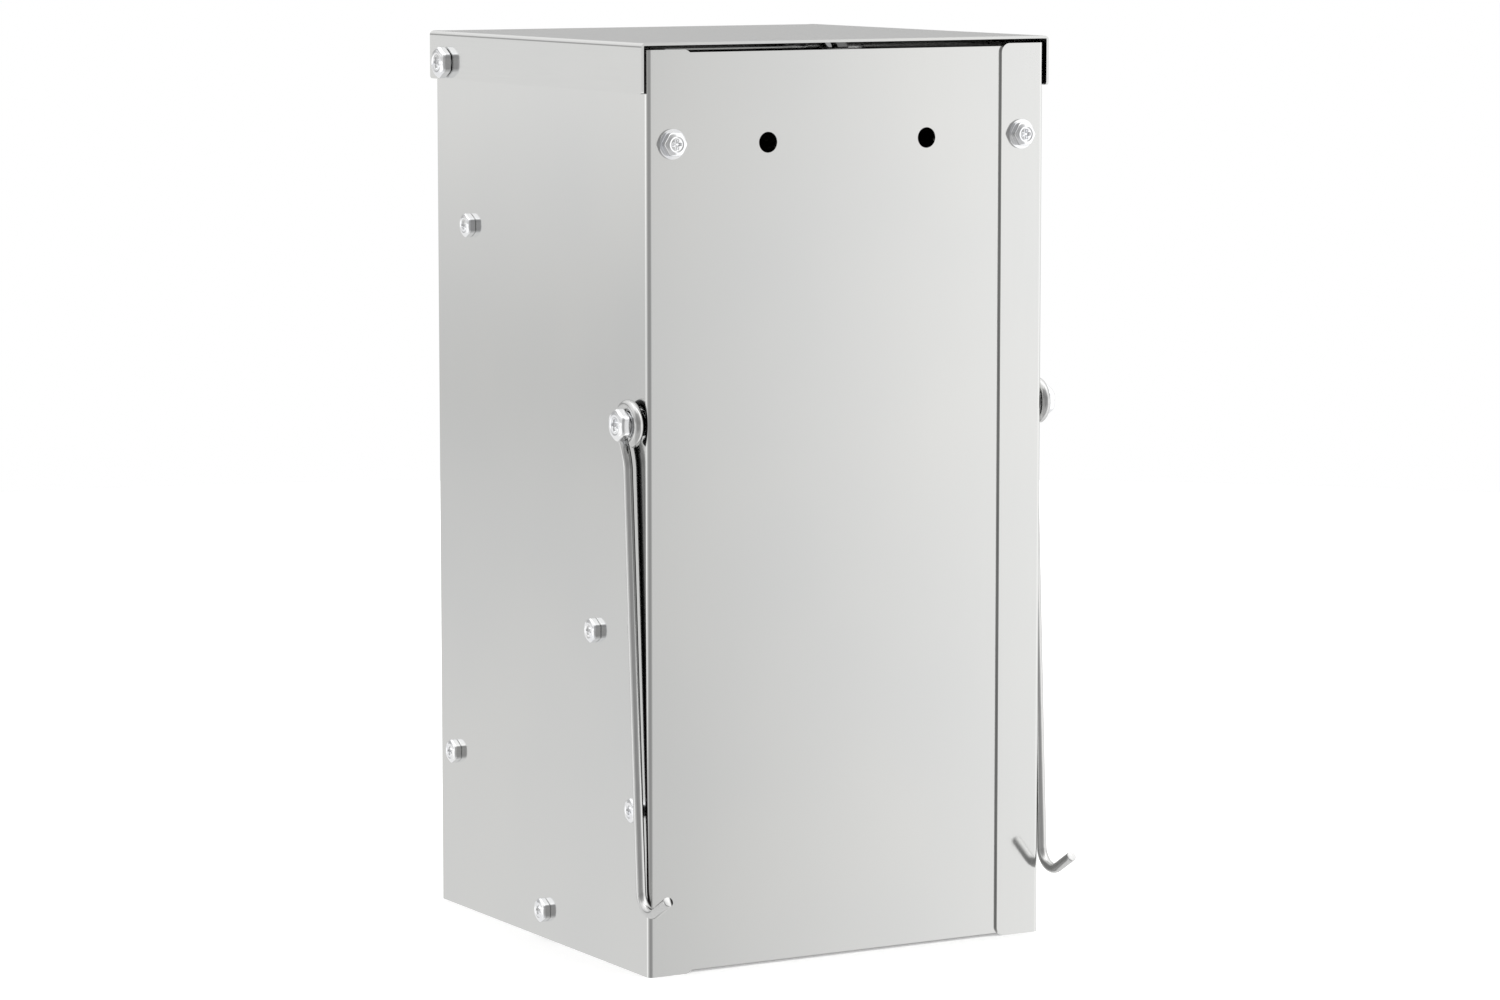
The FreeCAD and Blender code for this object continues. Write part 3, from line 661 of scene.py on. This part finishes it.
for name, side in (("hook_right", 1.0), ("hook_left", -1.0)):
    grid, inner = wire_grid(hook_path(side), side)
    # the left hook's wire gets no painted shade
    if name == "hook_left":
        inner = inner * 0.0
    stand_in("fine_" + name, [grid], name, wire_finish, inner)
    print(name, len(grid[0]), "points")

# %% [markdown]
# ## Studio floor
# A pale matt floor under the bin. Upright polished sheet mirrors what lies low and far away, and there
# the soft surround gives better gradients than an endless floor would, so the floor is left out of
# reflections.

# %% Floor


def disc(name, radius, rings=24, spokes=96):
    """Flat disc: ring k lies at radius * k / rings, and each ring is a circle of spokes points round +Z."""
    turn = np.linspace(0.0, 2 * np.pi, spokes, endpoint=False)
    reach = radius * np.arange(1, rings + 1) / rings
    x = np.outer(reach, np.cos(turn)).ravel()
    y = np.outer(reach, np.sin(turn)).ravel()
    points = np.vstack([[0, 0, 0], np.column_stack([x, y, np.zeros_like(x)])])
    here = np.arange(spokes)
    ahead = (here + 1) % spokes
    inner = np.arange(rings - 1)[:, None] * spokes + 1
    quads = np.stack([inner + here, inner + spokes + here, inner + spokes + ahead, inner + ahead], axis=-1)
    hub = [(0, int(a) + 1, int(b) + 1) for a, b in zip(here, ahead)]
    mesh = bpy.data.meshes.new(name)
    mesh.from_pydata(points.tolist(), [], hub + quads.reshape(-1, 4).tolist())
    thing = bpy.data.objects.new(name, mesh)
    scene.collection.objects.link(thing)
    return thing


floor_r = 1.7
floor = disc("studio_floor", floor_r)
floor_finish, tree, shader = new_material("pale_floor")
mottle = stretched_noise(tree, (1.0, 1.0, 1.0), 3.0)
tree.links.new(two_tones(tree, mottle, (0.93, 0.93, 0.93), (0.95, 0.95, 0.95)), shader.inputs["Base Color"])
shader.inputs["Roughness"].default_value = 0.9
shader.inputs["Specular IOR Level"].default_value = 0.1
shader.inputs["Emission Color"].default_value = (1.0, 1.0, 1.0, 1.0)
shader.inputs["Emission Strength"].default_value = 0.3
floor.data.materials.append(floor_finish)
floor.visible_glossy = False
print("floor", len(floor.data.polygons), "faces")

# %% [markdown]
# ## Soft surround
# Polished sheet has no look of its own: it shows the room. The room could be an environment map or a ring
# of light boxes, but a world shader stays sharp at any size and is quick to change. It is put together
# from smooth functions of the direction looked in, and these helpers make one such function each.

# %% World helpers
world = bpy.data.worlds.new("soft_surround")
world.use_nodes = True
scene.world = world
room = world.node_tree
room.nodes.clear()
look = room.nodes.new("ShaderNodeTexCoord").outputs["Generated"]


def towards(direction):
    """How far the look direction points towards a unit direction, from -1 to 1."""
    node = room.nodes.new("ShaderNodeVectorMath")
    node.operation = "DOT_PRODUCT"
    node.inputs[1].default_value = direction
    room.links.new(look, node.inputs[0])
    return node.outputs["Value"]


def smooth_step(source, start, stop, low, high):
    """Runs smoothly from low to high as source goes from start to stop."""
    node = room.nodes.new("ShaderNodeMapRange")
    node.interpolation_type = "SMOOTHSTEP"
    for socket, value in zip(("From Min", "From Max", "To Min", "To Max"), (start, stop, low, high)):
        node.inputs[socket].default_value = value
    room.links.new(source, node.inputs["Value"])
    return node.outputs["Result"]


def combine(operation, first, second):
    """Joins two patterns, or a pattern and a number."""
    node = room.nodes.new("ShaderNodeMath")
    node.operation = operation
    for socket, value in zip(node.inputs, (first, second)):
        if isinstance(value, (int, float)):
            socket.default_value = value
        else:
            room.links.new(value, socket)
    return node.outputs["Value"]


def straight(source, start, stop):
    """Maps start to stop onto 0 to 1 in a straight line."""
    node = room.nodes.new("ShaderNodeMapRange")
    node.inputs["From Min"].default_value = start
    node.inputs["From Max"].default_value = stop
    room.links.new(source, node.inputs["Value"])
    return node.outputs["Result"]


def height_ramp(stops):
    """Brightness against the look direction's height, from (height, value) stops. Straight down is -1, level
    is 0 and straight up is 1. The ramp holds half the brightness, so that no colour in it is over 1."""
    up = straight(towards((0.0, 0.0, 1.0)), -1.0, 1.0)
    ramp = room.nodes.new("ShaderNodeValToRGB")
    ramp.color_ramp.interpolation = "CARDINAL"
    while len(ramp.color_ramp.elements) < len(stops):
        ramp.color_ramp.elements.new(0.5)
    for element, (height, value) in zip(ramp.color_ramp.elements, stops):
        element.position = (height + 1) / 2
        element.color = (value / 2, value / 2, value / 2, 1.0)
    room.links.new(up, ramp.inputs["Fac"])
    return combine("MULTIPLY", ramp.outputs["Color"], 2.0)


print("world helpers:", towards.__name__, smooth_step.__name__, combine.__name__, height_ramp.__name__)

# %% [markdown]
# ### Two halves of the room
# The side panel mirrors the front half and the wall face the rear half. In the front half the brightness
# dips just below level and again above it, which gives the side its band of shade. The rear half is even
# over the height, but rises across the compass, so the wall face gets lighter from one edge to the other.

# %% Room halves
front_room = height_ramp([(-1.0, 0.9), (-0.206, 0.89), (-0.15, 0.85), (-0.115, 0.79), (-0.0985, 0.735),
                          (-0.075, 0.82), (-0.054, 0.91), (-0.036, 0.98), (0.0, 0.86), (0.036, 0.54),
                          (0.2, 0.52), (0.3, 0.95), (0.45, 1.05), (1.0, 1.5)])
rear_room = height_ramp([(-1.0, 0.9), (-0.206, 0.93), (-0.14, 0.965), (-0.036, 1.0), (0.3, 0.9), (1.0, 1.5)])
is_rear = smooth_step(towards((0.0, 1.0, 0.0)), -0.3, 0.3, 0.0, 1.0)
lift_turn = math.radians(30.6)
lift_way = (-math.cos(lift_turn), -math.sin(lift_turn), 0.0)
lift = smooth_step(towards(lift_way), -0.10, 0.10, 0.665, 1.335)
rear_room = combine("MULTIPLY", rear_room, lift)
blend_front = combine("MULTIPLY", front_room, combine("SUBTRACT", 1.0, is_rear))
blend_rear = combine("MULTIPLY", rear_room, is_rear)
surround = combine("ADD", blend_front, blend_rear)
print("room halves", len(room.nodes), "nodes")

# %% [markdown]
# ### Shade and glow for round pieces
# Flat sheet mirrors only a small part of the room, but a wire or a domed screw mirrors nearly all of it.
# A dim patch on the viewer's side darkens the middle of those round pieces, and a glow beside it gives
# them a bright edge. From the camera's place, both fade out before they reach what the flat faces mirror.

# %% Dim patch and glow
dim_turn = math.radians(150.0)
dim_level, dim_up = 0.97, 0.24
dim_way = (math.sin(dim_turn) * dim_level, -math.cos(dim_turn) * dim_level, dim_up)
dim = smooth_step(towards(dim_way), 0.58, 0.88, 1.0, 0.6)
surround = combine("MULTIPLY", surround, dim)
glow_way = (0.85, -0.527, 0.0)
glow = smooth_step(towards(glow_way), 0.90, 0.985, 1.0, 1.5)
surround = combine("MULTIPLY", surround, glow)
print("room with shade and glow", len(room.nodes), "nodes")

# %% [markdown]
# ### White backdrop
# A studio sweep behind the bin would be plain white. Rays that come straight from the camera therefore
# see white, while every other ray sees the room, so the backdrop and the reflections can be set apart
# from each other.

# %% Backdrop
seen = room.nodes.new("ShaderNodeBackground")
lit = room.nodes.new("ShaderNodeBackground")
mix = room.nodes.new("ShaderNodeMixShader")
ray = room.nodes.new("ShaderNodeLightPath")
end = room.nodes.new("ShaderNodeOutputWorld")
room.links.new(surround, lit.inputs["Strength"])
lit.inputs["Color"].default_value = (1.0, 1.0, 0.995, 1.0)
seen.inputs["Color"].default_value = (1.0, 1.0, 1.0, 1.0)
room.links.new(ray.outputs["Is Camera Ray"], mix.inputs["Fac"])
room.links.new(lit.outputs["Background"], mix.inputs[1])
room.links.new(seen.outputs["Background"], mix.inputs[2])
room.links.new(mix.outputs["Shader"], end.inputs["Surface"])
print("room", len(room.nodes), "nodes")

# %% [markdown]
# ## Overhead light
# A large soft box hangs over the bin. It lights the lid a little and casts the faint shadow under the
# base. A sun lamp would make the shadow hard, and a small lamp would show as a hot spot in the lid.

# %% Overhead light


def soft_light(name, place, aim_at, size, power):
    """A large square area light that points at aim_at."""
    data = bpy.data.lights.new(name, "AREA")
    data.size = size
    data.energy = power
    lamp = bpy.data.objects.new(name, data)
    lamp.location = place
    lamp.rotation_euler = (Vector(aim_at) - Vector(place)).to_track_quat("-Z", "Y").to_euler()
    scene.collection.objects.link(lamp)
    return lamp


overhead = soft_light("overhead_soft_light", (0.4, 0.3, 2.6), (0.0, 0.0, 0.2), 2.2, 6.0)
print("overhead light", overhead.data.energy, "W")

# %% [markdown]
# ## Camera
# The camera stands low behind the bin's right-hand rear edge, looking slightly down, so that one side,
# the wall face and a thin slice of the lid show. A shifted lens on a level camera would keep the upright
# edges exactly parallel, but it would push the bin out of the frame from other sides. So the camera is
# tilted a little instead, and stands well back with a long lens, which keeps those edges almost parallel.

# %% Camera
azimuth = math.radians(150.231)
elevation = math.radians(7.011)
distance = 2.3188
lens = 122.5
aim_right, aim_up = 0.00648, 0.19162
back = Vector((math.sin(azimuth) * math.cos(elevation), -math.cos(azimuth) * math.cos(elevation),
               math.sin(elevation)))
right = Vector((math.cos(azimuth), math.sin(azimuth), 0.0))
aim = right * aim_right + Vector((0.0, 0.0, aim_up))
camera = bpy.data.objects.new("camera", bpy.data.cameras.new("camera"))
camera.data.lens = lens
camera.data.sensor_width = 36.0
camera.data.clip_end = 100.0
camera.location = aim + back * distance
camera.rotation_euler = (-back).to_track_quat("-Z", "Y").to_euler()
scene.collection.objects.link(camera)
scene.camera = camera
print("camera", [round(v, 3) for v in camera.location])
